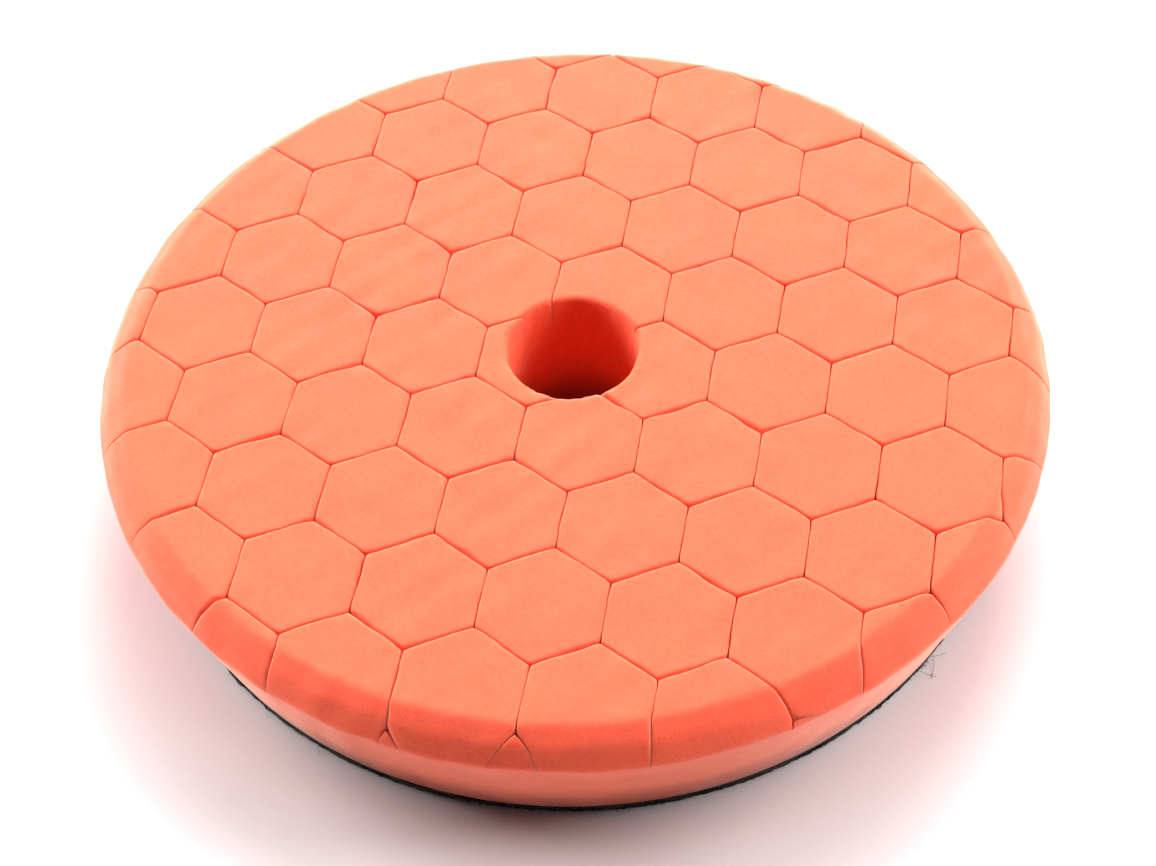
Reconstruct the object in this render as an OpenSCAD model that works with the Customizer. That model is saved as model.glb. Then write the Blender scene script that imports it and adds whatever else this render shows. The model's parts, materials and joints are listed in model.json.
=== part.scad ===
// Foam polishing pad for a hand-held polisher, lying on its hook-and-loop back
// with the working face up.  One block of open-cell foam is cut with a honeycomb
// of narrow slits; a melted film bonds it to a knitted cloth whose loops grip the
// hooks of the machine's backing plate.  The centre hole goes through the foam and
// ends on the backing.
// Origin: on the pad's axis, at the tips of the loops.  +Z: towards the working face.

/* [Foam] */
// Diameter across the rim, before its nose is rounded
pad_d = 150; // [120:1:200]
// Height of the foam block
foam_h = 24.2; // [20:0.1:40]
// How far the bevel runs in from the rim, measured along the radius
bevel_w = 4.5; // [3:0.1:6]
// How far the bevel drops from the face to the rim
bevel_h = 5; // [4:0.1:8]
// How far the bevel's middle stands out from a straight slope, before rounding
belly = 0.7; // [0:0.1:1.2]
// How much smaller the radius is at the base than at the rim
taper_w = 6.2; // [1:0.1:12]
// Rounding where the face turns into the bevel
face_edge_r = 2.4; // [0.4:0.1:3]
// Rounding of the bevel's middle
belly_r = 5; // [1:0.5:8]
// Rounding of the rim's nose
rim_r = 1.6; // [0.4:0.1:2]

/* [Centre hole] */
// Diameter of the hole, which goes through the foam down to the film
hole_d = 21; // [8:0.5:30]

/* [Honeycomb slits] */
// Side of one hexagon of the lattice
cell_side = 10.5; // [8:0.5:20]
// Width of a slit
slit_w = 0.4; // [0.2:0.1:2]
// Depth of the slits below the working face
slit_depth = 5.5; // [2:0.1:8]
// How far the cell nearest the axis sits to the side of it
cell_x = -5; // [-9:0.1:9]
// How far that cell sits in front of the axis
cell_y = -2.7; // [-9:0.1:9]

/* [Backing] */
// Thickness of the melted bonding film
film_h = 0.2; // [0.1:0.1:0.5]
// Thickness of the knitted ground cloth
cloth_h = 0.6; // [0.4:0.1:1.5]
// Height of the loops that stand on the cloth
loop_h = 1; // [0.5:0.1:3]

/* [Hidden] */
$fn = 120;

// Heights of the layers' lower faces, from the ground up
cloth_z = loop_h;
film_z = cloth_z + cloth_h;
foam_z = film_z + film_h;
face_z = foam_z + foam_h;

// Radii of the revolved outline
rim_radius = pad_d / 2;
base_radius = rim_radius - taper_w;
face_radius = rim_radius - bevel_w;
hole_radius = hole_d / 2;

// Spare length by which a cutter runs past what it cuts
past = 2;
// Straight steps in each rounded corner of the outline
corner_steps = 6;

// Lattice of cells with corners towards +Y and -Y
column_pitch = sqrt(3) * cell_side;
row_pitch = 1.5 * cell_side;
// An island is a lattice hexagon drawn in by half a slit on each side
island_radius = cell_side - slit_w / sqrt(3);
rows = ceil((rim_radius + cell_side) / row_pitch) + 1;
columns = ceil((rim_radius + cell_side) / column_pitch) + 1;

function unit(v) = v / norm(v);

// Points of the arc of radius r that rounds corner b between edges b-a and b-c
function rounded(a, b, c, r) =
    let (u = unit(a - b),
         v = unit(c - b),
         half = acos(u * v) / 2,
         centre = b + unit(u + v) * r / sin(half),
         from = b + u * r / tan(half) - centre,
         to = b + v * r / tan(half) - centre,
         turn = atan2(cross(from, to), from * to),
         start = atan2(from.y, from.x))
    [for (i = [0:corner_steps])
        centre + r * [cos(start + turn * i / corner_steps), sin(start + turn * i / corner_steps)]];

// Centre of the cell in a column and row; every second row is shifted half a cell
function cell_centre(column, row) =
    [cell_x + column_pitch * (column + (row % 2 == 0 ? 0 : 0.5)), cell_y + row_pitch * row];

module foam_block() {
    base = [base_radius, foam_z];
    rim = [rim_radius, face_z - bevel_h];
    edge = [face_radius, face_z];
    middle = (rim + edge) / 2 + belly * unit([bevel_h, bevel_w]);
    inner = [hole_radius, face_z];
    rotate_extrude()
        polygon(concat([[hole_radius, foam_z], base],
                       rounded(base, rim, middle, rim_r),
                       rounded(rim, middle, edge, belly_r),
                       rounded(middle, edge, inner, face_edge_r),
                       [inner]));
}

module islands() {
    for (row = [-rows:rows], column = [-columns:columns]) {
        centre = cell_centre(column, row);
        // Only cells that reach the pad, so that each island is a real one
        if (norm(centre) < rim_radius + cell_side)
            translate(centre)
                rotate([0, 0, 30])
                    circle(r = island_radius, $fn = 6);
    }
}

module slit_cutter() {
    translate([0, 0, face_z - slit_depth])
        linear_extrude(height = slit_depth + past)
            difference() {
                circle(r = rim_radius + past);
                islands();
            }
}

// One uncut layer of the backing, from the height low up
module layer(low, height) {
    translate([0, 0, low])
        cylinder(r = base_radius, h = height);
}

module foam_pad() {
    color("lightsalmon")
        difference() {
            foam_block();
            slit_cutter();
        }
}

module adhesive_film() {
    color("dimgray")
        layer(film_z, film_h);
}

module backing_cloth() {
    color("black")
        layer(cloth_z, cloth_h);
}

module loop_pile() {
    color("black")
        layer(0, loop_h);
}

foam_pad();
adhesive_film();
backing_cloth();
loop_pile();
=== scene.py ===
# %% [markdown]
# # A foam polishing pad, surface by surface
#
# The pad is a lamination. On top is one block of open-cell polyurethane foam, cut with a honeycomb of
# narrow slits so that the face can flex and carry polish. Under it a melted film holds a knitted cloth,
# and loops stand out of that cloth to grip the hooks of a polisher's backing plate. A centre hole goes
# through the foam and ends on the film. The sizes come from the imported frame; this script gives each layer
# its real surface.

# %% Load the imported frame
import json
import math

import bpy
import numpy as np
from mathutils import Matrix, Vector


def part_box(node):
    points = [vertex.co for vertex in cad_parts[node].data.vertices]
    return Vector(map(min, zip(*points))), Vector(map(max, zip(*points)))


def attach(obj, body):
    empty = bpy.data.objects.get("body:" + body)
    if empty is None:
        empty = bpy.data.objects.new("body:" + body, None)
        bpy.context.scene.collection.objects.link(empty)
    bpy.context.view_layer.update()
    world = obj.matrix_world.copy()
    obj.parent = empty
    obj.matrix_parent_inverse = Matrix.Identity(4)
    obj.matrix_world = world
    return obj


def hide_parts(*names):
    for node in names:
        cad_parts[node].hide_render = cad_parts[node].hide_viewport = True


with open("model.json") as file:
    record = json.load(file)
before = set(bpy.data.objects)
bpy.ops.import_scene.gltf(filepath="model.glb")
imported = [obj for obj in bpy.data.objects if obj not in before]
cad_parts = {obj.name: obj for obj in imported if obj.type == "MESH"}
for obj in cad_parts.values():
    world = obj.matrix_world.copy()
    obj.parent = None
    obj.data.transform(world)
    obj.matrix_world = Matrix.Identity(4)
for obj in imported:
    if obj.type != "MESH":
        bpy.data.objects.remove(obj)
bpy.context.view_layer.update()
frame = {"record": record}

# %% [markdown]
# ## Sizes
#
# All shapes below are worked out in millimetres and turned into metres only when they go into a mesh. What
# the frame knows is asked from it: the layers' heights, the base's radius and the hole's radius. What it
# can't say, such as the width of a slit, is a named value here.

# %% Sizes in millimetres
MM = 0.001


def layer_heights(node):
    """The lowest and highest z of a CAD node, in millimetres."""
    low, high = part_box(node)
    return low.z / MM, high.z / MM


BASE_Z, FACE_Z = layer_heights("foam_pad")
FILM_LOW, FILM_HIGH = layer_heights("adhesive_film")
CLOTH_LOW, CLOTH_HIGH = layer_heights("backing_cloth")
PILE_LOW, PILE_HIGH = layer_heights("loop_pile")
BASE_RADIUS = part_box("backing_cloth")[1].x / MM
HOLE_RADIUS = next(m["dims"]["r_mm"] for m in frame["record"]["mounts"] if m["name"] == "centre_bore")

TAPER_WIDTH = 6.2
BEVEL_WIDTH = 4.5
BEVEL_DROP = 5.0
BELLY = 0.7
BELLY_ROUND = 5.0
FACE_EDGE_ROUND = 2.4
RIM_ROUND = 1.6
HOLE_LIP_ROUND = 0.9

CELL_SIDE = 10.5
NEAREST_CELL = np.array([-5.0, -2.7])
SLIT_DEPTH = 5.5

CORNER_RADIUS = BASE_RADIUS + TAPER_WIDTH
print(f"foam from {BASE_Z:.1f} to {FACE_Z:.1f} mm")
print(f"hole radius {HOLE_RADIUS:.1f} mm, base radius {BASE_RADIUS:.1f} mm")

# %% [markdown]
# ## Meshes from arrays
#
# A mesh is a list of points and a list of faces that name them by number. Both are numpy arrays here, and
# foreach_set copies them in one go, which stays quick with hundreds of thousands of faces.

# %% From arrays to a piece of the pad
ALL_ROUND = 2 * math.pi


def make_piece(name, points, faces, replaced, sharp_degrees=50):
    """A piece that rides on the pad's only body. points are in millimetres; faces is a list of arrays with
    one row of point numbers for each face. Edges that turn by more than sharp_degrees stay crisp."""
    corners = np.concatenate([f.ravel() for f in faces]).astype(np.int32)
    sizes = np.concatenate([np.full(len(f), f.shape[1]) for f in faces])
    mesh = bpy.data.meshes.new(name)
    mesh.vertices.add(len(points))
    mesh.loops.add(len(corners))
    mesh.polygons.add(len(sizes))
    mesh.vertices.foreach_set("co", (points * MM).astype(np.float32).ravel())
    mesh.loops.foreach_set("vertex_index", corners)
    mesh.polygons.foreach_set("loop_start", (np.cumsum(sizes) - sizes).astype(np.int32))
    mesh.update(calc_edges=True)
    mesh.validate()
    mesh.shade_smooth()
    mesh.set_sharp_from_angle(angle=math.radians(sharp_degrees))
    piece = bpy.data.objects.new(name, mesh)
    bpy.context.scene.collection.objects.link(piece)
    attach(piece, "root")
    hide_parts(replaced)
    triangles = int((sizes - 2).sum())
    print(f"{name}: {len(points)} points, {triangles} triangles")
    return piece


def drift(points, wavelength, seed):
    """A smooth random field for each of x, y and z, about one unit strong: the sum of twelve sine waves of
    about that wavelength, which run in random directions."""
    generator = np.random.default_rng(seed)
    directions = generator.normal(size=(3, 12, 3))
    directions /= np.linalg.norm(directions, axis=2, keepdims=True)
    waves = directions * ALL_ROUND / wavelength * generator.uniform(0.7, 1.4, (3, 12, 1))
    phases = generator.uniform(0, ALL_ROUND, (3, 12))
    angles = np.einsum("nk,cwk->ncw", points, waves) + phases
    return np.sin(angles).sum(axis=2) / math.sqrt(6)


# %% [markdown]
# ## The foam's outline
#
# Seen in section the foam is a disc with a bevel from the face down to the rim, and sides that taper in
# from the rim to the base. Foam has no knife edges, so both corners are arcs. The outline is a list of
# (radius, height) points: the part that can be seen from straight above is a height for each radius, and
# the rest is swept down from the rim.

# %% The outline's points
CORNER_POINTS = 6
SIDE_ROWS = 10


def rounded_corner(before, corner, after, radius, steps):
    """The arc of that radius that touches both edges at a corner. Its centre lies on the line that halves
    the corner, at radius / sin(half the corner's angle) from it."""
    to_before = (before - corner) / np.linalg.norm(before - corner)
    to_after = (after - corner) / np.linalg.norm(after - corner)
    half = math.acos(to_before @ to_after) / 2
    middle = to_before + to_after
    centre = corner + middle / np.linalg.norm(middle) * radius / math.sin(half)
    start = corner + to_before * radius / math.tan(half) - centre
    end = corner + to_after * radius / math.tan(half) - centre
    turn = math.atan2(start[0] * end[1] - start[1] * end[0], start @ end)
    angles = math.atan2(start[1], start[0]) + turn * np.linspace(0, 1, steps)
    return centre + radius * np.column_stack([np.cos(angles), np.sin(angles)])


def straight(start, end, steps):
    """Points between start and end, without either."""
    share = np.linspace(0, 1, steps + 2)[1:-1, None]
    return start + (end - start) * share


base_corner = np.array([BASE_RADIUS, BASE_Z])
rim_corner = np.array([CORNER_RADIUS, FACE_Z - BEVEL_DROP])
face_corner = np.array([CORNER_RADIUS - BEVEL_WIDTH, FACE_Z])
face_inside = np.array([HOLE_RADIUS, FACE_Z])
# Straight out of the bevel, as a direction of length 1
BEVEL_OUT = np.array([BEVEL_DROP, BEVEL_WIDTH]) / math.hypot(BEVEL_DROP, BEVEL_WIDTH)
belly_corner = (face_corner + rim_corner) / 2 + BELLY * BEVEL_OUT
face_arc = rounded_corner(face_inside, face_corner, belly_corner, FACE_EDGE_ROUND, CORNER_POINTS)
belly_arc = rounded_corner(face_corner, belly_corner, rim_corner, BELLY_ROUND, CORNER_POINTS)
rim_arc = rounded_corner(belly_corner, rim_corner, base_corner, RIM_ROUND, 2 * CORNER_POINTS)
outline = np.concatenate([
    face_arc, straight(face_arc[-1], belly_arc[0], 1),
    belly_arc, straight(belly_arc[-1], rim_arc[0], 1),
    rim_arc, straight(rim_arc[-1], base_corner, SIDE_ROWS), [base_corner],
])
widest = int(outline[:, 0].argmax())
seen_from_above = outline[:widest + 1]
below_the_rim = outline[widest + 1:]
RIM_RADIUS = seen_from_above[-1, 0]

lip_angles = np.radians([90, 70, 50, 30, 0])
hole_lip = np.column_stack([
    HOLE_RADIUS + HOLE_LIP_ROUND * (1 - np.sin(lip_angles)),
    FACE_Z - HOLE_LIP_ROUND * (1 - np.cos(lip_angles)),
])
from_above = np.concatenate([hole_lip, seen_from_above])


def face_height(radius):
    """The unslit foam's height at a radius, between the hole and the rim."""
    return np.interp(radius, from_above[:, 0], from_above[:, 1])


print(f"outline of {len(outline)} points, widest at a radius of {RIM_RADIUS:.2f} mm")

# %% [markdown]
# ## The honeycomb
#
# The slits could be cut out with a boolean, but that leaves long thin faces that shade badly, and lips as
# sharp as a knife. Instead the mesh is laid out along the honeycomb from the start. One cell is a hexagon,
# and copies of its outline shrink towards its centre. The outermost copy is the middle of the slit's
# floor; the next ones climb the slit's wall and go round its soft lip, and the last few cross the island.
# Each point carries its share of the slit's depth: 1 on the floor, 0 on the island.

# %% One cell as shrinking hexagons
CELL_APOTHEM = CELL_SIDE * math.sqrt(3) / 2
STEPS_ALONG_A_SIDE = 14
CORNER_TRIM = 0.012

# Distance from the slit's middle, in millimetres, and the share of the slit's depth there: first the slit
# and its lip, then the island, which is flat
lip_distance = [0, 0.012, 0.02, 0.035, 0.07, 0.12, 0.19, 0.28, 0.4]
lip_depth = [1, 0.9, 0.42, 0.12, 0.062, 0.04, 0.024, 0.012, 0.004]
island_distance = [0.6, 1.1, 2.1, 3.6, 5.2, 6.8, 8.2]
wall_distance = np.array(lip_distance + island_distance)
wall_depth = np.array(lip_depth + [0] * len(island_distance))


def cell_outline():
    """Points along a hexagon with a corner towards +Y, each side cut into equal steps."""
    corner_angles = np.radians(30 + 60 * np.arange(7))
    corners = CELL_SIDE * np.column_stack([np.cos(corner_angles), np.sin(corner_angles)])
    share = np.arange(STEPS_ALONG_A_SIDE)[None, :, None] / STEPS_ALONG_A_SIDE
    return (corners[:-1, None] + (corners[1:] - corners[:-1])[:, None] * share).reshape(-1, 2)


def one_cell():
    """(points, depth shares, triangles) of a cell around the origin. Copy k is the outline times
    1 - distance_k / apothem, with its corners trimmed a little so that the islands' corners are soft."""
    outer = cell_outline()
    count = len(outer)
    reach = np.linalg.norm(outer, axis=1) / CELL_SIDE
    edge = CELL_APOTHEM / CELL_SIDE
    cornering = ((reach - edge) / (1 - edge)) ** 3
    shrink = 1 - wall_distance / CELL_APOTHEM
    trimmed = np.where(wall_distance > 0, CORNER_TRIM, 0)
    rings = outer[None] * shrink[:, None, None] * (1 - trimmed[:, None] * cornering[None])[..., None]
    points = np.concatenate([rings.reshape(-1, 2), [[0, 0]]])
    depth = np.concatenate([np.repeat(wall_depth, count), [0]])
    numbers = np.arange(len(wall_distance) * count).reshape(-1, count)
    here, ahead = numbers, np.roll(numbers, -1, axis=1)
    a, b, c, d = here[:-1].ravel(), ahead[:-1].ravel(), ahead[1:].ravel(), here[1:].ravel()
    fan = np.column_stack([here[-1], ahead[-1], np.full(count, len(points) - 1)])
    triangles = np.concatenate([np.column_stack([a, b, c]), np.column_stack([a, c, d]), fan])
    return points, depth, triangles


# %% Cells side by side
def honeycomb(radius):
    """(points, depth shares, triangles) of every cell that reaches that radius. Points that neighbouring
    cells share are merged into one."""
    pitch = CELL_APOTHEM * 2
    reach = int(radius / CELL_SIDE) + 3
    rows, columns = np.meshgrid(np.arange(-reach, reach + 1), np.arange(-reach, reach + 1), indexing="ij")
    centres = np.column_stack([
        NEAREST_CELL[0] + pitch * (columns + 0.5 * (rows % 2)).ravel(),
        NEAREST_CELL[1] + 1.5 * CELL_SIDE * rows.ravel(),
    ])
    centres = centres[np.linalg.norm(centres, axis=1) < radius + CELL_SIDE]
    cell_points, cell_depth, cell_triangles = one_cell()
    points = (centres[:, None] + cell_points[None]).reshape(-1, 2)
    depth = np.tile(cell_depth, len(centres))
    shift = len(cell_points) * np.arange(len(centres))
    triangles = (cell_triangles[None] + shift[:, None, None]).reshape(-1, 3)
    _, first, merged = np.unique(np.round(points, 4), axis=0, return_index=True, return_inverse=True)
    print(f"{len(centres)} cells reach the pad")
    return points[first], depth[first], merged.ravel()[triangles]


# %% Slits that a blade has cut
BLADE_WANDER, WANDER_LENGTH = 0.025, 2.6
WIDTH_CHANGE, WIDTH_LENGTH = 0.12, 8
BEVEL_PULL = 0.6


def as_cut(points, depth):
    """The lattice as a blade leaves it. The slits wander by BLADE_WANDER over WANDER_LENGTH. Beyond the
    face's corner the foam was pulled down over the bevel, so the pattern is stretched there: a step out on
    the lattice is 1 / BEVEL_PULL steps on the pad. A slit is wider in some places than in others: its depth
    share is raised to a power that drifts around 1 by WIDTH_CHANGE."""
    solid = np.column_stack([points, depth * 0])
    points = points + BLADE_WANDER * drift(solid, WANDER_LENGTH, seed=12)[:, :2]
    radius = np.hypot(points[:, 0], points[:, 1])
    corner = face_corner[0]
    pulled = np.where(radius > corner, corner + (radius - corner) / BEVEL_PULL, radius)
    power = 1 + WIDTH_CHANGE * drift(solid, WIDTH_LENGTH, seed=13)[:, 0]
    return points * (pulled / np.maximum(radius, 1e-9))[:, None], depth ** np.clip(power, 0.7, 1.4)


# %% [markdown]
# ## Round edges in a hexagonal mesh
#
# The lattice knows nothing of the pad's round rim, its bevel or the hole. So the mesh is split along
# circles: wherever a triangle's edge crosses a circle a new point goes in exactly on it, and the triangle
# becomes two or three. After that the bevel starts along a clean circle, and what lies outside the rim or
# inside the hole can simply be dropped.

# %% Split a flat mesh along a circle
# Points this close to a circle move onto it, and points this close to it count as on it
SNAP = 0.004
ON_CIRCLE = SNAP / 100


def split_at_circle(points, values, triangles, radius):
    """Splits each triangle that crosses the circle of that radius. A corner closer than SNAP moves onto the
    circle. Of three corners one is odd: it lies on the circle, or alone on its side of it. Each triangle is
    turned to start at its odd corner, and is then cut from there."""
    points = points.copy()
    away = np.hypot(points[:, 0], points[:, 1]) - radius
    near = np.abs(away) < SNAP
    points[near] *= (radius / (radius + away[near]))[:, None]
    side = np.where(near, 0, np.sign(away))[triangles]
    crossing = (side.min(axis=1) < 0) & (side.max(axis=1) > 0)
    cut, side = triangles[crossing], side[crossing]
    on_circle = (side == 0).any(axis=1)
    alone = side == side.prod(axis=1, keepdims=True)
    odd = np.where(on_circle, (side == 0).argmax(axis=1), alone.argmax(axis=1))
    cut = np.take_along_axis(cut, (odd[:, None] + np.arange(3)) % 3, axis=1)
    through, apart = cut[on_circle], cut[~on_circle]
    edges = np.concatenate([through[:, [1, 2]], apart[:, [0, 1]], apart[:, [0, 2]]])
    edges, which = np.unique(np.sort(edges, axis=1), axis=0, return_inverse=True)
    start, end = edges.T
    share = (away[start] / (away[start] - away[end]))[:, None]
    added = points[start] + (points[end] - points[start]) * share
    added *= radius / np.linalg.norm(added, axis=1, keepdims=True)
    added_values = values[start] + (values[end] - values[start]) * share[:, 0]
    number = len(points) + which.ravel()
    middle = number[:len(through)]
    first, second = np.split(number[len(through):], 2)
    triangles = np.concatenate([
        triangles[~crossing],
        np.column_stack([through[:, 0], through[:, 1], middle]),
        np.column_stack([through[:, 0], middle, through[:, 2]]),
        np.column_stack([apart[:, 0], first, second]),
        np.column_stack([first, apart[:, 1], apart[:, 2]]),
        np.column_stack([first, apart[:, 2], second]),
    ])
    return np.concatenate([points, added]), np.concatenate([values, added_values]), triangles


def keep_ring(points, values, triangles, inside, outside):
    """Drops the triangles that lie inside one radius or outside the other, and the points that this frees.
    No triangle crosses either circle, so one corner off the circle tells its side. A sliver with all three
    corners on one circle lies inside it."""
    reach = np.hypot(points[:, 0], points[:, 1])[triangles]
    beyond = (reach > outside + ON_CIRCLE).any(axis=1)
    within = (reach < inside - ON_CIRCLE).any(axis=1) | (reach < inside + ON_CIRCLE).all(axis=1)
    used, triangles = np.unique(triangles[~beyond & ~within], return_inverse=True)
    return points[used], values[used], triangles.reshape(-1, 3)


def loop_at(points, radius):
    """The numbers of the points on a circle, in order of their angle."""
    on_circle = np.flatnonzero(np.abs(np.hypot(points[:, 0], points[:, 1]) - radius) < ON_CIRCLE)
    angle = np.arctan2(points[on_circle, 1], points[on_circle, 0])
    return on_circle[np.argsort(angle)]


# %% Strips between loops of points
def strip(upper, lower):
    """Four-sided faces between two closed loops of equal length, which face outwards where the loops run
    anticlockwise and upper lies above lower."""
    return np.column_stack([lower, np.roll(lower, -1), np.roll(upper, -1), upper])


def zipper(points, outer, inner):
    """Triangles between two closed loops of different length, facing down. Both loops are walked together
    by angle: each step along one loop makes a triangle with the point that the walk has reached on the
    other."""
    angle = np.arctan2(points[:, 1], points[:, 0])
    loops = np.concatenate([outer, inner])
    is_outer = np.arange(len(loops)) < len(outer)
    order = np.argsort(angle[loops], kind="stable")
    is_outer = is_outer[order]
    outer_now = (np.cumsum(is_outer) - 1) % len(outer)
    inner_now = (np.cumsum(~is_outer) - 1) % len(inner)
    outer_before = (outer_now - is_outer) % len(outer)
    inner_before = (inner_now - ~is_outer) % len(inner)
    third = np.where(is_outer, outer[outer_now], inner[inner_now])
    return np.column_stack([outer[outer_before], inner[inner_before], third])


# %% [markdown]
# ## The foam pad
#
# The honeycomb, split and trimmed, becomes the top: its height is the plain foam's height on the islands
# and the slit's floor in the slits, mixed by the depth share. Because the bevel falls towards the depth of
# the slits, they fade out at the rim on their own. From the rim's loop of points the sides are swept down
# row by row, from the hole's loop the wall is, and a zipper of triangles closes the base. Last, the whole
# block is nudged by a slow random drift of a few hundredths of a millimetre, because cut foam is never
# quite straight.

# %% The top of the foam
# Circles closer together than this would move each other's points
CIRCLE_GAP = 0.05

plan, depth, triangles = honeycomb(CORNER_RADIUS)
plan, depth = as_cut(plan, depth)
circles = [RIM_RADIUS]
for radius in from_above[::-1, 0]:
    if circles[-1] - radius > CIRCLE_GAP:
        circles.append(radius)
for circle in circles:
    plan, depth, triangles = split_at_circle(plan, depth, triangles, circle)
plan, depth, triangles = keep_ring(plan, depth, triangles, HOLE_RADIUS, RIM_RADIUS)
unslit = face_height(np.hypot(plan[:, 0], plan[:, 1]))
top_points = np.column_stack([plan, unslit + (FACE_Z - SLIT_DEPTH - unslit) * depth])
print(f"top of the foam: {len(triangles)} triangles")


# %% The sides, the hole's wall and the base
WALL_ROWS = 14
NOTCH_FADE = 1.5


def sweep(points, loop, radii, drops):
    """Rows of points below a loop. Row k keeps the loop's angles, has its own radius, and lies drops[k]
    below the loop; drops has one row for each radius and one column for each point of the loop."""
    angle = np.arctan2(points[loop, 1], points[loop, 0])
    flat = radii[:, None, None] * np.stack([np.cos(angle), np.sin(angle)], axis=-1)[None]
    return np.concatenate([flat, (points[loop, 2] - drops)[..., None]], axis=-1)


def foam_surface():
    """(points, faces) of the closed foam block. Where a slit notches the rim, the side's rows dip too, by a
    share that fades to nothing NOTCH_FADE below the rim."""
    rim = loop_at(top_points, RIM_RADIUS)
    hole = loop_at(top_points, HOLE_RADIUS)
    rim_z = seen_from_above[-1, 1]
    notch = top_points[rim, 2] - rim_z
    fade = np.clip(1 - (rim_z - below_the_rim[:, 1]) / NOTCH_FADE, 0, 1)[:, None] ** 2
    side_heights = below_the_rim[:, 1][:, None] + notch[None] * fade
    side = sweep(top_points, rim, below_the_rim[:, 0], top_points[rim, 2] - side_heights)
    share = np.linspace(0, 1, WALL_ROWS + 1)[1:, None]
    wall = sweep(top_points, hole, np.full(WALL_ROWS, HOLE_RADIUS), (top_points[hole, 2] - BASE_Z) * share)
    points = np.concatenate([top_points, side.reshape(-1, 3), wall.reshape(-1, 3)])
    side_count, wall_count = side.shape[0] * len(rim), wall.shape[0] * len(hole)
    side_numbers = len(top_points) + np.arange(side_count).reshape(-1, len(rim))
    wall_numbers = len(top_points) + side_count + np.arange(wall_count).reshape(-1, len(hole))
    side_rows = [rim, *side_numbers]
    wall_rows = [hole, *wall_numbers]
    faces = [triangles]
    faces += [strip(upper, lower) for upper, lower in zip(side_rows, side_rows[1:])]
    faces += [strip(upper, lower)[:, ::-1] for upper, lower in zip(wall_rows, wall_rows[1:])]
    faces.append(zipper(points, side_rows[-1], wall_rows[-1]))
    return points, faces


FOAM_DRIFT, DRIFT_LENGTH = 0.05, 7
LIP_RAGGED, RAGGED_LENGTH, RAGGED_REACH = 0.09, 1.3, 1.2
GLUED_HEIGHT = 2


def unevenness(points):
    """How far each point of ideal foam is moved: a slow drift everywhere except at the glued base, and at
    the hole's lip short ragged bites where the punch tore the cells, most of all at the front. They fade
    within RAGGED_REACH of the lip."""
    above_base = np.clip((points[:, 2] - BASE_Z) / GLUED_HEIGHT, 0, 1)[:, None]
    from_lip = np.hypot(np.hypot(points[:, 0], points[:, 1]) - HOLE_RADIUS, (points[:, 2] - FACE_Z) / 1.5)
    front = 0.6 - 0.4 * points[:, 1] / HOLE_RADIUS
    ragged = (np.clip(1 - from_lip / RAGGED_REACH, 0, 1) * np.clip(front, 0.1, 1))[:, None]
    slow = FOAM_DRIFT * above_base * drift(points, DRIFT_LENGTH, seed=11)
    torn = LIP_RAGGED * ragged * drift(points, RAGGED_LENGTH, seed=14)
    return slow + torn


foam_points, foam_faces = foam_surface()
foam_points = foam_points + unevenness(foam_points)
foam = make_piece("foam_block", foam_points, foam_faces, "foam_pad")

# %% [markdown]
# ## The film and the ground cloth
#
# Both are thin discs, which aren't cut at the hole: the film shows as its floor. A flat lattice is split
# along the circle of the edge, and lifted twice, to an upper and a lower face, with a wall between them.
# The film's edge creeps out a little where it melted. The cloth is warp-knitted: on its lower face ribs
# run side by side, and the loops stand on those ribs.

# %% Thin discs
EDGE_FADE = 2
CREEP_LENGTH = 9


def flat_disc(step_x, step_y, radius):
    """(points, triangles) of a flat lattice of those steps, cut to a disc."""
    across = np.arange(-radius - 2 * step_x, radius + 2 * step_x, step_x)
    along = np.arange(-radius - 2 * step_y, radius + 2 * step_y, step_y)
    points = np.stack(np.meshgrid(across, along, indexing="ij"), axis=-1)
    numbers = np.arange(points.shape[0] * points.shape[1]).reshape(points.shape[:2])
    a, b, c, d = numbers[:-1, :-1], numbers[1:, :-1], numbers[1:, 1:], numbers[:-1, 1:]
    halves = [np.stack([a, b, c], axis=-1).reshape(-1, 3), np.stack([a, c, d], axis=-1).reshape(-1, 3)]
    points = points.reshape(-1, 2)
    points, values, found = split_at_circle(points, np.zeros(len(points)), np.concatenate(halves), radius)
    points, _, found = keep_ring(points, values, found, 0, radius)
    return points, found


def thin_disc(points, found, radius, low, high, edge_creep, seed):
    """(points, faces) of a closed disc between the heights low and high, one for each point. Its edge goes
    in and out by edge_creep, which fades to nothing EDGE_FADE further in."""
    edge = loop_at(points, radius)
    reach = np.hypot(points[:, 0], points[:, 1])
    near_edge = np.clip(1 - (radius - reach) / EDGE_FADE, 0, 1)
    outward = drift(np.column_stack([points, low]), CREEP_LENGTH, seed)[:, 0]
    creep = 1 + edge_creep * near_edge * outward / radius
    flat = points * creep[:, None]
    both = np.concatenate([np.column_stack([flat, high]), np.column_stack([flat, low])])
    under = len(points)
    return both, [found, found[:, ::-1] + under, strip(edge, edge + under)]


# %% The film
FILM_STEP = 1.5
FILM_CREEP = 0.12
BLISTER_HEIGHT, BLISTER_LENGTH = 0.06, 5

film_plan, film_triangles = flat_disc(FILM_STEP, FILM_STEP, BASE_RADIUS)
level = np.ones(len(film_plan))
# Nothing at the hole's wall, 1 from 2.5 mm inside it
in_the_hole = np.clip((HOLE_RADIUS - 0.5 - np.hypot(film_plan[:, 0], film_plan[:, 1])) / 2, 0, 1)
bulge = drift(np.column_stack([film_plan, level]), BLISTER_LENGTH, seed=24)[:, 2]
film_top = FILM_HIGH * level + BLISTER_HEIGHT * in_the_hole * bulge
film_points, film_faces = thin_disc(
    film_plan, film_triangles, BASE_RADIUS, FILM_LOW * level, film_top, FILM_CREEP, seed=21)
film = make_piece("melted_film", film_points, film_faces, "adhesive_film")

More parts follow.
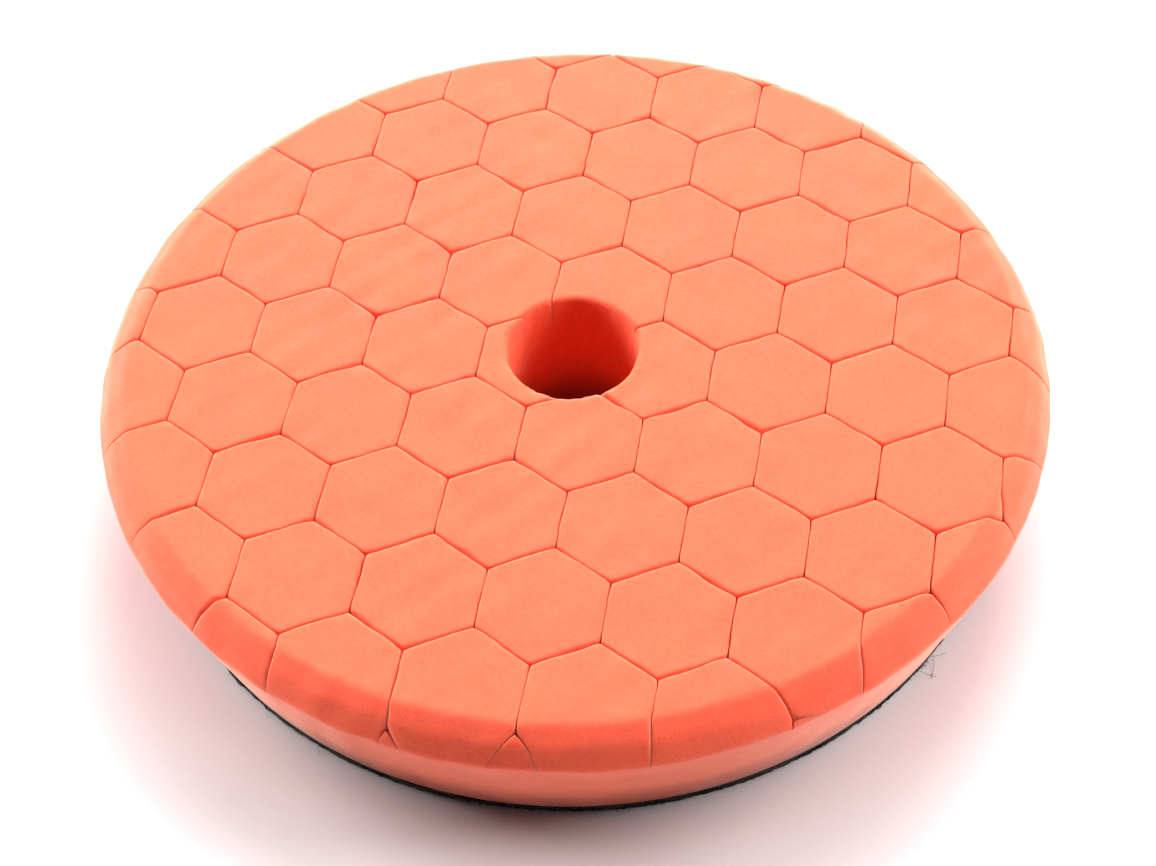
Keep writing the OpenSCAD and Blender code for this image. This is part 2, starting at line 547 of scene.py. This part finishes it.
# %% The ground cloth
RIB_PITCH = 1.8
KNIT_STEP = RIB_PITCH / 4
RIB_HEIGHT = 0.12
KNIT_DRIFT, KNIT_LENGTH = 0.05, 3
CLOTH_CREEP = 0.15

cloth_plan, cloth_triangles = flat_disc(KNIT_STEP, RIB_PITCH, BASE_RADIUS)
ribs = RIB_HEIGHT * np.cos(ALL_ROUND * cloth_plan[:, 0] / RIB_PITCH)
knit = KNIT_DRIFT * drift(np.column_stack([cloth_plan, ribs]), KNIT_LENGTH, seed=22)[:, 2]
level = np.ones(len(cloth_plan))
cloth_underside = CLOTH_LOW + 0.1 - ribs + knit
cloth_points, cloth_faces = thin_disc(
    cloth_plan, cloth_triangles, BASE_RADIUS, cloth_underside, CLOTH_HIGH * level, CLOTH_CREEP, seed=23)
cloth = make_piece("ground_cloth", cloth_points, cloth_faces, "backing_cloth")

# %% [markdown]
# ## The loops
#
# The pile is thousands of small arches of polyester yarn. There are far too many to give each a fine mesh,
# so one arch is a three-sided tube with five bends, and numpy copies it all over the disc at once, each
# copy with its own turn, width and height. At the cut edge the arches stand closer, as they do where the
# cloth's edge is squeezed by the cutter.

# %% Many tubes at once
def tubes(paths, thickness):
    """(points, faces) of a three-sided tube along each path. paths is (tubes, points along it, 3). A point's
    corners lie thickness / 2 away from the path along two directions at right angles to it: one level with
    the ground, and one that the path's direction and the level one make together."""
    count, along, _ = paths.shape
    ahead = np.gradient(paths, axis=1)
    ahead /= np.linalg.norm(ahead, axis=2, keepdims=True)
    chord = paths[:, -1] - paths[:, 0]
    level = np.column_stack([-chord[:, 1], chord[:, 0], np.zeros(count)])
    level = (level / np.linalg.norm(level, axis=1, keepdims=True))[:, None] + 0 * ahead
    upright = np.cross(ahead, level)
    angles = ALL_ROUND * np.arange(3) / 3
    around = np.cos(angles)[:, None] * level[:, :, None] + np.sin(angles)[:, None] * upright[:, :, None]
    points = paths[:, :, None] + around * thickness / 2
    numbers = np.arange(points[..., 0].size).reshape(count, along, 3)
    here, turned = numbers, np.roll(numbers, -1, axis=2)
    sides = np.stack([here[:, :-1], turned[:, :-1], turned[:, 1:], here[:, 1:]], axis=-1).reshape(-1, 4)
    caps = np.concatenate([numbers[:, 0, ::-1], numbers[:, -1]])
    return points.reshape(-1, 3), [sides, caps]


LOOP_BULGE = 0.18
FOOT_POWER = 0.7


def arches(places, turns, widths, heights, root_z):
    """Paths of arches that hang down from root_z: across by width * (share - 1/2) with a bulge on both
    sides, and down by height * sin(share * 180 degrees) to a power that makes the foot round."""
    share = np.linspace(0, 1, 6)
    across = (share - 0.5) - LOOP_BULGE * np.sin(ALL_ROUND * share)
    down = np.sin(math.pi * share) ** FOOT_POWER
    flat = (widths * np.stack([np.cos(turns), np.sin(turns)]))[..., None] * across
    x, y = places.T[..., None] + flat
    z = root_z - heights[:, None] * down
    return np.stack([x, y, z + 0 * x], axis=-1)


# %% Loops over the whole back
YARN = 0.24
LOOP_PITCH = 1.45
PLACE_JITTER = 0.25
LOOP_WIDTH = (0.9, 1.5)
SHORTEST_LOOP = 0.8
ROOT_DEPTH = 0.05


def pile_places(pitch_x, pitch_y, outside, generator):
    """Places on a jittered lattice within a radius."""
    across = np.arange(-outside, outside, pitch_x)
    along = np.arange(-outside, outside, pitch_y)
    places = np.stack(np.meshgrid(across, along, indexing="ij"), axis=-1).reshape(-1, 2)
    places = places + generator.normal(0, PLACE_JITTER, places.shape)
    return places[np.linalg.norm(places, axis=1) < outside]


def hanging_loops(places, turns, generator):
    """Loops whose tips all end close to the ground, on which the pad rests."""
    count = len(places)
    widths = generator.uniform(*LOOP_WIDTH, count)
    heights = (CLOTH_LOW - PILE_LOW) * generator.uniform(SHORTEST_LOOP, 1.0, count) - YARN / 2
    return tubes(arches(places, turns, widths, heights, CLOTH_LOW + ROOT_DEPTH), YARN)


pile_random = np.random.default_rng(31)
pile = pile_places(RIB_PITCH, LOOP_PITCH, BASE_RADIUS - 1.0, pile_random)
pile_turns = pile_random.uniform(0, ALL_ROUND, len(pile))
loop_points, loop_faces = hanging_loops(pile, pile_turns, pile_random)
loops = make_piece("standing_loops", loop_points, loop_faces, "loop_pile", sharp_degrees=180)


# %% Loops along the cut edge
SPACING_JITTER, REACH_JITTER, TURN_JITTER = 0.1, 0.06, 0.15


def edge_places(radius, pitch, generator):
    """Places along a circle, and the turn that lays a loop along it, all a little uneven."""
    count = int(ALL_ROUND * radius / pitch)
    even = ALL_ROUND * np.arange(count) / count
    angles = even + generator.normal(0, SPACING_JITTER, count) * pitch / radius
    reach = radius + generator.normal(0, REACH_JITTER, count)
    places = np.column_stack([reach * np.cos(angles), reach * np.sin(angles)])
    return places, angles + math.pi / 2 + generator.normal(0, TURN_JITTER, count)


edge_random = np.random.default_rng(32)
# The radius of each row of loops, and the pitch along it
edge_rows = [(BASE_RADIUS - 0.3, 0.36), (BASE_RADIUS - 0.75, 0.5)]
edge_sets = [edge_places(radius, pitch, edge_random) for radius, pitch in edge_rows]
edge_spots = np.concatenate([places for places, _ in edge_sets])
edge_turns = np.concatenate([turns for _, turns in edge_sets])
edge_points, edge_faces = hanging_loops(edge_spots, edge_turns, edge_random)
edge_loops = make_piece("edge_loops", edge_points, edge_faces, "loop_pile", sharp_degrees=180)
print(f"{len(pile)} loops over the back and {len(edge_spots)} along its edge")

# %% [markdown]
# ## Frayed fibres
#
# Where the cloth was cut, the ends of its yarns come loose: short fine hairs that stick out under the
# foam. Each is the same three-sided tube on a path that leaves the edge outwards, curls to one side and
# droops.

# %% Fibres at the cut edge
FIBRE = 0.07
FIBRE_COUNT = 260
TUFT_ANGLE, TUFT_SPREAD, TUFT_SHARE, TUFT_LENGTH = math.radians(-30), 0.04, 0.1, 3
SAG = 0.3


def fibre_paths(count, generator):
    """Paths that start in the cloth's edge. At a share s of its length a fibre is length * s further out,
    curl * s squared to the side, and its height follows a lift that gravity bends down. A few of them stand
    together in one tuft, and are longer."""
    share = np.linspace(0, 1, 7)
    in_tuft = generator.uniform(size=count) < TUFT_SHARE
    tuft_angles = generator.normal(TUFT_ANGLE, TUFT_SPREAD, count)
    angles = np.where(in_tuft, tuft_angles, generator.uniform(0, ALL_ROUND, count))
    length = (generator.gamma(1.6, 0.22, count) * np.where(in_tuft, TUFT_LENGTH, 1))[:, None]
    curl = generator.normal(0, 0.8, count)[:, None] * length
    lift = generator.uniform(-0.3, 0.5, count)[:, None] * length
    reach = BASE_RADIUS - 0.3 + length * share
    side = curl * share ** 2
    cosine, sine = np.cos(angles)[:, None], np.sin(angles)[:, None]
    start = generator.uniform(0.5, CLOTH_HIGH - 0.1, count)[:, None]
    height = np.maximum(start + lift * share - SAG * length * share ** 2, PILE_LOW + FIBRE)
    return np.stack([reach * cosine - side * sine, reach * sine + side * cosine, height], axis=-1)


fibre_points, fibre_faces = tubes(fibre_paths(FIBRE_COUNT, np.random.default_rng(41)), FIBRE)
fibres = make_piece(
    "frayed_fibres", fibre_points, fibre_faces, "backing_cloth", sharp_degrees=180)

# %% [markdown]
# ## Materials
#
# Colours are written as sRGB hex values, as a paint chart gives them, and one function makes them linear,
# which is what the shader works in. Another adds a node with its settings and links. Every pattern reads
# Object coordinates, which are metres here, so a pattern's scale is one over the size of its grain.

# %% Helpers for materials
def linear(hex_colour):
    """An sRGB hex value as linear red, green, blue and alpha."""
    channels = [int(hex_colour[k:k + 2], 16) / 255 for k in (1, 3, 5)]
    return (*[c / 12.92 if c <= 0.04045 else ((c + 0.055) / 1.055) ** 2.4 for c in channels], 1)


def add_node(tree, kind, settings=None, links=None, **attributes):
    """A node of that kind. attributes are set on the node, settings on its inputs, and links join its inputs
    to the outputs given."""
    node = tree.nodes.new(kind)
    for name, value in attributes.items():
        setattr(node, name, value)
    for name, value in (settings or {}).items():
        node.inputs[name].default_value = value
    for name, output in (links or {}).items():
        tree.links.new(output, node.inputs[name])
    return node


def new_material(name):
    """(material, its node tree, its Principled shader, Object coordinates)."""
    material = bpy.data.materials.new(name)
    material.use_nodes = True
    tree = material.node_tree
    shader = tree.nodes["Principled BSDF"]
    return material, tree, shader, add_node(tree, "ShaderNodeTexCoord").outputs["Object"]


def ramp(tree, factor, stops):
    """The colour output of a ramp; stops are (position, hex colour)."""
    node = add_node(tree, "ShaderNodeValToRGB", links={"Fac": factor})
    elements = node.color_ramp.elements
    while len(elements) < len(stops):
        elements.new(0.5)
    for element, (position, colour) in zip(elements, stops):
        element.position = position
        element.color = linear(colour)
    return node.outputs["Color"]


# %% [markdown]
# ### Open-cell polyurethane foam
#
# Dyed polyether foam, skived to size. Its surface is a mat of broken cell walls, so it has almost no
# gloss, and light wanders about a millimetre through it. Skiving leaves a fuzz that is pale where it is
# seen at a low angle. The punched wall of the hole and the walls of the slits have none, so the fuzz needs
# a mask: it is worked out from the distance to the axis and the height, which tell the open surfaces from
# the cut ones. Towards its base the foam is painted darker, as painted shade on the lower side and at the
# bottom of the hole. Close up the foam is speckled with the mouths of its cells, which are a little under
# half a millimetre across; they are painted darker too, as painted shade inside the open cells.

# %% Where the foam has fuzz
FUZZ = 0.5


def fuzz_strength(tree, place, height):
    """FUZZ on the face, the bevel and the side, and 0 in the hole and in the slits. A point is in a slit
    when it lies below the face, and also under the bevel's slope, and isn't lower than the rim."""
    flat = add_node(tree, "ShaderNodeVectorMath", {1: (1, 1, 0)}, {0: place}, operation="MULTIPLY")
    from_axis = add_node(tree, "ShaderNodeVectorMath", links={0: flat.outputs["Vector"]},
                         operation="LENGTH").outputs["Value"]
    outside_hole = add_node(tree, "ShaderNodeMapRange",
                            {"From Min": (HOLE_RADIUS + 0.1) * MM, "From Max": (HOLE_RADIUS + 0.8) * MM,
                             "To Min": 0.0, "To Max": FUZZ}, {"Value": from_axis})
    on_face = add_node(tree, "ShaderNodeMapRange",
                       {"From Min": (FACE_Z - 0.5) * MM, "From Max": (FACE_Z - 0.1) * MM}, {"Value": height})
    across = add_node(tree, "ShaderNodeMath", {1: BEVEL_OUT[0], 2: -BEVEL_OUT.dot(face_corner) * MM},
                      {0: from_axis}, operation="MULTIPLY_ADD")
    off_bevel = add_node(tree, "ShaderNodeMath", {1: BEVEL_OUT[1]}, {0: height, 2: across.outputs["Value"]},
                         operation="MULTIPLY_ADD")
    on_bevel = add_node(tree, "ShaderNodeMapRange", {"From Min": -0.7 * MM, "From Max": -0.3 * MM},
                        {"Value": off_bevel.outputs["Value"]})
    on_side = add_node(tree, "ShaderNodeMapRange",
                       {"From Min": (rim_corner[1] + 0.5) * MM, "From Max": (rim_corner[1] - 0.2) * MM},
                       {"Value": height})
    outer = add_node(tree, "ShaderNodeMath", {},
                     {0: on_bevel.outputs["Result"], 1: on_side.outputs["Result"]}, operation="MAXIMUM")
    uncut = add_node(tree, "ShaderNodeMath", {},
                     {0: on_face.outputs["Result"], 1: outer.outputs["Value"]}, operation="MAXIMUM")
    fuzz = add_node(tree, "ShaderNodeMath", {},
                    {0: outside_hole.outputs["Result"], 1: uncut.outputs["Value"]}, operation="MULTIPLY")
    return fuzz.outputs["Value"]


# %% Foam
CELL_MOUTH = 0.45
GRAIN = 1.1
DYE_CLOUD = 14
# How far up from the base the painted shade reaches, in millimetres
BASE_SHADE_HEIGHT = 10
SCATTER_LENGTH = 0.8


def polyurethane_foam():
    material, tree, shader, place = new_material("orange polyurethane foam")
    cells = add_node(tree, "ShaderNodeTexVoronoi", {"Scale": 1 / (CELL_MOUTH * MM), "Randomness": 1.0},
                     {"Vector": place})
    grain = add_node(tree, "ShaderNodeTexNoise",
                     {"Scale": 1 / (GRAIN * MM), "Detail": 4.0, "Roughness": 0.65}, {"Vector": place})
    cloud = add_node(tree, "ShaderNodeTexNoise", {"Scale": 1 / (DYE_CLOUD * MM), "Detail": 2.0},
                     {"Vector": place})
    # The cell mouths are sunk by the bump and painted darker: painted shade in the open cells, mixed with
    # the foam's real grain
    pore_depth_and_shade = add_node(tree, "ShaderNodeMapRange", {"From Min": 0.08, "From Max": 0.4},
                      {"Value": cells.outputs["Distance"]})
    grain_and_pore_shade = add_node(tree, "ShaderNodeMath", {}, {0: pore_depth_and_shade.outputs["Result"], 1: grain.outputs["Fac"]},
                       operation="MULTIPLY")
    fine = ramp(tree, grain_and_pore_shade.outputs["Value"], [(0.05, "#CE4226"), (0.35, "#E65A3B"), (0.7, "#EE664A")])
    broad = ramp(tree, cloud.outputs["Fac"], [(0.3, "#E85F46"), (0.7, "#EC6547")])
    dyed = add_node(tree, "ShaderNodeMix", {"Factor": 0.5}, {"A": fine, "B": broad}, data_type="RGBA")
    height = add_node(tree, "ShaderNodeSeparateXYZ", links={"Vector": place}).outputs["Z"]
    # Painted shade: the colour darkens to #9E3A28 towards the foam's base, so the lower side and the bottom
    # of the hole look shaded
    above_base_shade = add_node(tree, "ShaderNodeMapRange",
                          {"From Min": BASE_Z * MM, "From Max": (BASE_Z + BASE_SHADE_HEIGHT) * MM},
                          {"Value": height}, interpolation_type="SMOOTHSTEP")
    colour = add_node(tree, "ShaderNodeMix", {"A": linear("#9E3A28")},
                      {"Factor": above_base_shade.outputs["Result"], "B": dyed.outputs["Result"]},
                      data_type="RGBA")
    tree.links.new(colour.outputs["Result"], shader.inputs["Base Color"])
    bump = add_node(tree, "ShaderNodeBump", {"Strength": 0.35, "Distance": 0.12 * MM},
                    {"Height": grain_and_pore_shade.outputs["Value"]})
    tree.links.new(bump.outputs["Normal"], shader.inputs["Normal"])
    shader.inputs["Roughness"].default_value = 0.95
    shader.inputs["Specular IOR Level"].default_value = 0.15
    shader.inputs["IOR"].default_value = 1.5
    shader.inputs["Subsurface Weight"].default_value = 1.0
    shader.inputs["Subsurface Radius"].default_value = (1.0, 1.0, 0.9)
    shader.inputs["Subsurface Scale"].default_value = SCATTER_LENGTH * MM
    tree.links.new(fuzz_strength(tree, place, height), shader.inputs["Sheen Weight"])
    shader.inputs["Sheen Roughness"].default_value = 0.45
    shader.inputs["Sheen Tint"].default_value = linear("#FFE3D4")
    return material


foam.data.materials.append(polyurethane_foam())

# %% [markdown]
# ### The dark layers
#
# The bond is a hot-melt film of thermoplastic polyurethane, dark and a little glossy where it oozed out.
# The cloth and its loops are black polyester: matte, with a soft sheen where light skims the filaments.

# %% Film, cloth and yarn
def hot_melt_film():
    material, tree, shader, place = new_material("hot-melt polyurethane film")
    waves = add_node(tree, "ShaderNodeTexNoise", {"Scale": 1 / (2.5 * MM), "Detail": 3.0}, {"Vector": place})
    colour = ramp(tree, waves.outputs["Fac"], [(0.3, "#1A0D0B"), (0.7, "#2C1613")])
    tree.links.new(colour, shader.inputs["Base Color"])
    bump = add_node(tree, "ShaderNodeBump", {"Strength": 0.4, "Distance": 0.1 * MM},
                    {"Height": waves.outputs["Fac"]})
    tree.links.new(bump.outputs["Normal"], shader.inputs["Normal"])
    shader.inputs["Roughness"].default_value = 0.45
    shader.inputs["IOR"].default_value = 1.5
    return material


def black_polyester(name, thread_size, dark, light):
    """Polyester yarn with threads of that size, in metres, between two shades."""
    material, tree, shader, place = new_material(name)
    threads = add_node(tree, "ShaderNodeTexNoise",
                       {"Scale": 1 / thread_size, "Detail": 3.0, "Roughness": 0.7}, {"Vector": place})
    colour = ramp(tree, threads.outputs["Fac"], [(0.3, dark), (0.75, light)])
    tree.links.new(colour, shader.inputs["Base Color"])
    bump = add_node(tree, "ShaderNodeBump", {"Strength": 0.5, "Distance": 0.15 * MM},
                    {"Height": threads.outputs["Fac"]})
    tree.links.new(bump.outputs["Normal"], shader.inputs["Normal"])
    shader.inputs["Roughness"].default_value = 0.85
    shader.inputs["Specular IOR Level"].default_value = 0.3
    shader.inputs["Sheen Weight"].default_value = 0.08
    shader.inputs["Sheen Roughness"].default_value = 0.4
    shader.inputs["IOR"].default_value = 1.55
    return material


film.data.materials.append(hot_melt_film())
knitted = black_polyester("knitted polyester ground cloth", 0.6 * MM, "#0E0A0A", "#1C1616")
cloth.data.materials.append(knitted)
yarn = black_polyester("brushed polyester loop yarn", 0.5 * MM, "#0C0909", "#201A1A")
for piece in (loops, edge_loops, fibres):
    piece.data.materials.append(yarn)

# %% [markdown]
# ## Floor, light and camera
#
# The pad lies on a pale sweep that is lit until it is pure white. Soft boxes stand behind, above and on
# both sides of the pad and none in front of it, so the front bevel and the front side fall away from the
# light. Further out the sweep has lamps of its own, which a low view needs: there the paper itself glows.

# %% The floor
# Distances from the pad in metres, between which the glow rises to its full strength
LAMPS_START, LAMPS_FULL = 0.5, 1.2


def pale_floor(half_side):
    """A square of white paper under the pad. Its faint warm tint is painted light: the orange light that the
    foam throws onto the paper.
    """
    corners = np.array([[-1, -1, 0], [1, -1, 0], [1, 1, 0], [-1, 1, 0]], float) * half_side
    mesh = bpy.data.meshes.new("floor")
    mesh.from_pydata(corners.tolist(), [], [[0, 1, 2, 3]])
    floor = bpy.data.objects.new("floor", mesh)
    bpy.context.scene.collection.objects.link(floor)
    material, tree, shader, place = new_material("matte white paper")
    paper = add_node(tree, "ShaderNodeTexNoise", {"Scale": 1 / (40 * MM)}, {"Vector": place})
    # The warm tint is painted bounce light from the orange foam, the same over the whole floor; the noise is
    # the paper's own tone
    shade = ramp(tree, paper.outputs["Fac"], [(0.3, "#D4CACB"), (0.7, "#D8CECF")])
    tree.links.new(shade, shader.inputs["Base Color"])
    away = add_node(tree, "ShaderNodeVectorMath", links={0: place}, operation="LENGTH")
    lamps = add_node(tree, "ShaderNodeMapRange", {"From Min": LAMPS_START, "From Max": LAMPS_FULL},
                     {"Value": away.outputs["Value"]})
    tree.links.new(lamps.outputs["Result"], shader.inputs["Emission Strength"])
    shader.inputs["Emission Color"].default_value = (1, 1, 1, 1)
    shader.inputs["Roughness"].default_value = 1.0
    shader.inputs["Specular IOR Level"].default_value = 0.0
    mesh.materials.append(material)


pale_floor(4.0)


# %% Lights
# About the sine of 25 degrees
DIM_FROM = 0.42


def soft_box(name, place, size, watts):
    """A square area light at place that faces the pad."""
    light = bpy.data.lights.new(name, "AREA")
    light.size = size
    light.energy = watts
    box = bpy.data.objects.new(name, light)
    box.location = place
    box.rotation_euler = Vector(place).to_track_quat("Z", "Y").to_euler()
    bpy.context.scene.collection.objects.link(box)


soft_box("soft box behind", (0, 0.76, 0.82), 0.6, 15)
soft_box("soft box overhead", (0, 0.16, 1.16), 0.8, 6.5)
soft_box("soft box left", (-0.88, 0.26, 0.40), 0.6, 19)
soft_box("soft box right", (0.80, 0.3, 0.52), 0.6, 15)


def studio_walls(low_level, high_level):
    """A world that is bright along the horizon and dim from about 25 degrees up."""
    world = bpy.data.worlds.new("white studio")
    world.use_nodes = True
    tree = world.node_tree
    look = add_node(tree, "ShaderNodeTexCoord").outputs["Generated"]
    height = add_node(tree, "ShaderNodeSeparateXYZ", links={"Vector": look}).outputs["Z"]
    level = add_node(tree, "ShaderNodeMapRange",
                     {"From Min": 0.0, "From Max": DIM_FROM, "To Min": low_level, "To Max": high_level},
                     {"Value": height}, interpolation_type="SMOOTHSTEP")
    tree.links.new(level.outputs["Result"], tree.nodes["Background"].inputs["Strength"])
    tree.nodes["Background"].inputs["Color"].default_value = (1, 1, 1, 1)
    bpy.context.scene.world = world


studio_walls(low_level=0.45, high_level=0.04)
bpy.context.scene.view_settings.view_transform = "Standard"

# %% Camera
AZIMUTH, ELEVATION, ROLL = math.radians(11.38), math.radians(49.36), math.radians(-2.45)
DISTANCE = 348.9
LENS, SENSOR_WIDTH = 71.4, 36
AIM = np.array([3.78, -17.48, FACE_Z])


def aim_camera():
    """A camera that looks at AIM from DISTANCE away. AZIMUTH turns it from -Y towards +X, ELEVATION lifts
    it, and ROLL turns it about its own line of sight."""
    flat = np.array([math.sin(AZIMUTH), -math.cos(AZIMUTH), 0])
    back = flat * math.cos(ELEVATION) + np.array([0, 0, math.sin(ELEVATION)])
    right = np.array([math.cos(AZIMUTH), math.sin(AZIMUTH), 0])
    up = np.cross(back, right)
    turned_right = right * math.cos(ROLL) + up * math.sin(ROLL)
    turned_up = up * math.cos(ROLL) - right * math.sin(ROLL)
    data = bpy.data.cameras.new("camera")
    data.sensor_width = SENSOR_WIDTH
    data.lens = LENS
    data.clip_start, data.clip_end = 0.01, 20
    camera = bpy.data.objects.new("camera", data)
    axes = np.column_stack([turned_right, turned_up, back, (AIM + back * DISTANCE) * MM])
    camera.matrix_world = Matrix(np.vstack([axes, [0, 0, 0, 1]]).tolist())
    bpy.context.scene.collection.objects.link(camera)
    bpy.context.scene.camera = camera


aim_camera()
